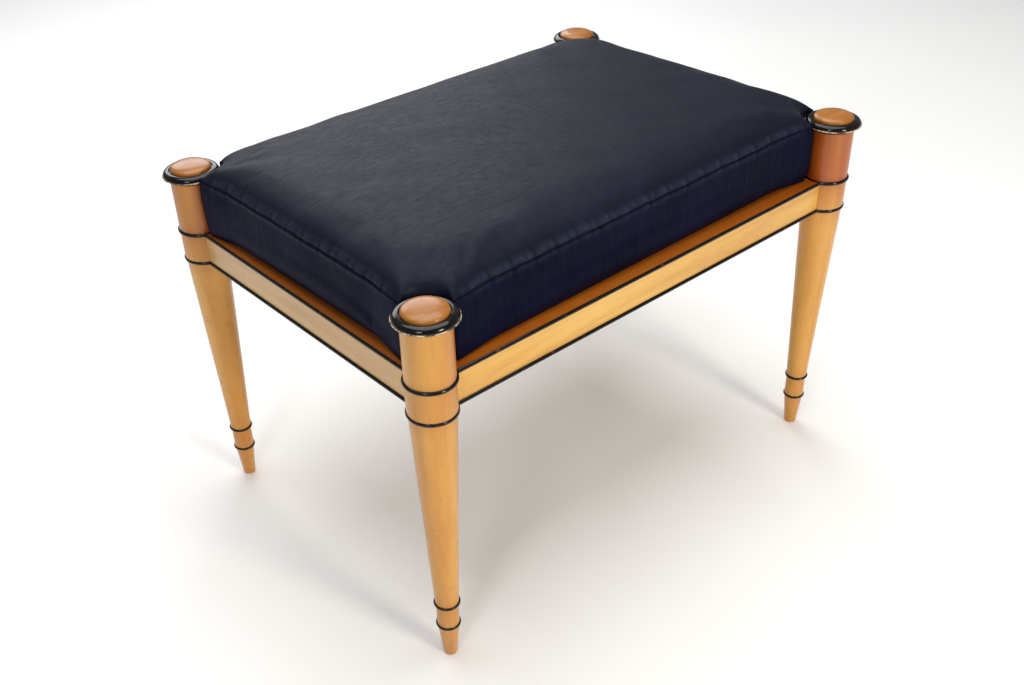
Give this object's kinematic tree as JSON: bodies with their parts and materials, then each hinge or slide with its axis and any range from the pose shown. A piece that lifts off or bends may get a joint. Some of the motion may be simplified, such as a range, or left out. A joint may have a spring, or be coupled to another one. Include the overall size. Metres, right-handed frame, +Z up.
{
  "type": "piano bench",
  "caption": "Upholstered piano bench: navy boxed seat lying loose between turned honey-wood posts, scribed rails with black beads, tapered legs.",
  "frame": {"origin": "on the floor, midway between the four legs", "axes": "+X along the long side, +Y towards the back, +Z up"},
  "size_m": [0.738, 0.535, 0.502],
  "materials": {
    "honey_wood": "gloss",
    "ebonised_wood": "gloss",
    "block_wood": "matte",
    "plywood": "matte",
    "seat_fabric": "satin",
    "seat_foam": "matte",
    "dust_cloth": "matte",
    "screw_steel": "satin"
  },
  "bodies": {
    "bench_frame": {"leg_front_left": "honey_wood", "post_collar_front_left": "ebonised_wood", "post_button_front_left": "honey_wood", "rail_front": "honey_wood", "rail_bead_front_top": "ebonised_wood", "rail_bead_front_bottom": "ebonised_wood", "corner_block_front_left": "block_wood", "block_screw_front_left_1": "screw_steel", "block_screw_front_left_2": "screw_steel", "leg_front_right": "honey_wood", "post_collar_front_right": "ebonised_wood", "post_button_front_right": "honey_wood", "rail_right": "honey_wood", "rail_bead_right_top": "ebonised_wood", "rail_bead_right_bottom": "ebonised_wood", "corner_block_front_right": "block_wood", "block_screw_front_right_1": "screw_steel", "block_screw_front_right_2": "screw_steel", "leg_back_right": "honey_wood", "post_collar_back_right": "ebonised_wood", "post_button_back_right": "honey_wood", "rail_back": "honey_wood", "rail_bead_back_top": "ebonised_wood", "rail_bead_back_bottom": "ebonised_wood", "corner_block_back_right": "block_wood", "block_screw_back_right_1": "screw_steel", "block_screw_back_right_2": "screw_steel", "leg_back_left": "honey_wood", "post_collar_back_left": "ebonised_wood", "post_button_back_left": "honey_wood", "rail_left": "honey_wood", "rail_bead_left_top": "ebonised_wood", "rail_bead_left_bottom": "ebonised_wood", "corner_block_back_left": "block_wood", "block_screw_back_left_1": "screw_steel", "block_screw_back_left_2": "screw_steel"},
    "seat": {"seat_cover": "seat_fabric", "seat_foam": "seat_foam", "seat_board": "plywood", "dust_cloth": "dust_cloth"}
  },
  "joints": [
    {"name": "seat_lift", "type": "slide", "parent": "bench_frame", "child": "seat", "axis": [0, 0, 1], "range_m": [0, 0.12]}
  ]
}
